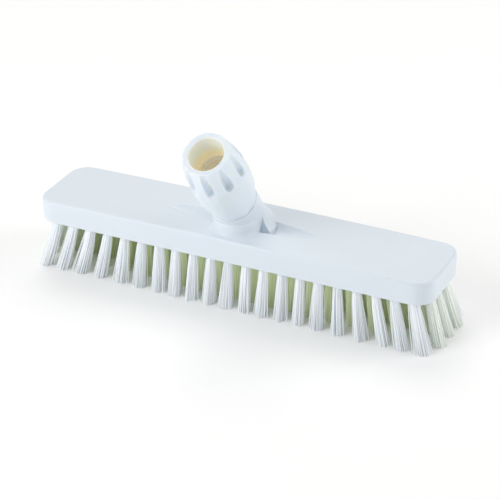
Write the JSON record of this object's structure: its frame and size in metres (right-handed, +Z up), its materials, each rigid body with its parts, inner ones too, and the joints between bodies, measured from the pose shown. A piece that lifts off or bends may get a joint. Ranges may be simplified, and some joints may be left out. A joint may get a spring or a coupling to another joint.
{
  "type": "scrub brush head",
  "caption": "White deck scrub brush head: a long rounded block with rows of fanned stiff tufts and a fixed, angled, fluted socket for a screw-in handle.",
  "frame": {"origin": "on the floor under the middle of the block, at the tip of the middle tuft", "axes": "+X along the block, -Y towards the side that the socket leans to, +Z up"},
  "size_m": [0.3138, 0.0949, 0.1357],
  "materials": {
    "block_plastic": "satin",
    "socket_plastic": "satin",
    "filament": "satin",
    "anchor_wire": "drawn wire"
  },
  "bodies": {
    "root": {"block": "block_plastic", "handle_socket": "socket_plastic", "tufts_front_outer": "filament", "tufts_front_inner": "filament", "tufts_middle": "filament", "tufts_back_inner": "filament", "tufts_back_outer": "filament", "anchors_front_outer": "anchor_wire", "anchors_front_inner": "anchor_wire", "anchors_middle": "anchor_wire", "anchors_back_inner": "anchor_wire", "anchors_back_outer": "anchor_wire"}
  },
  "joints": []
}
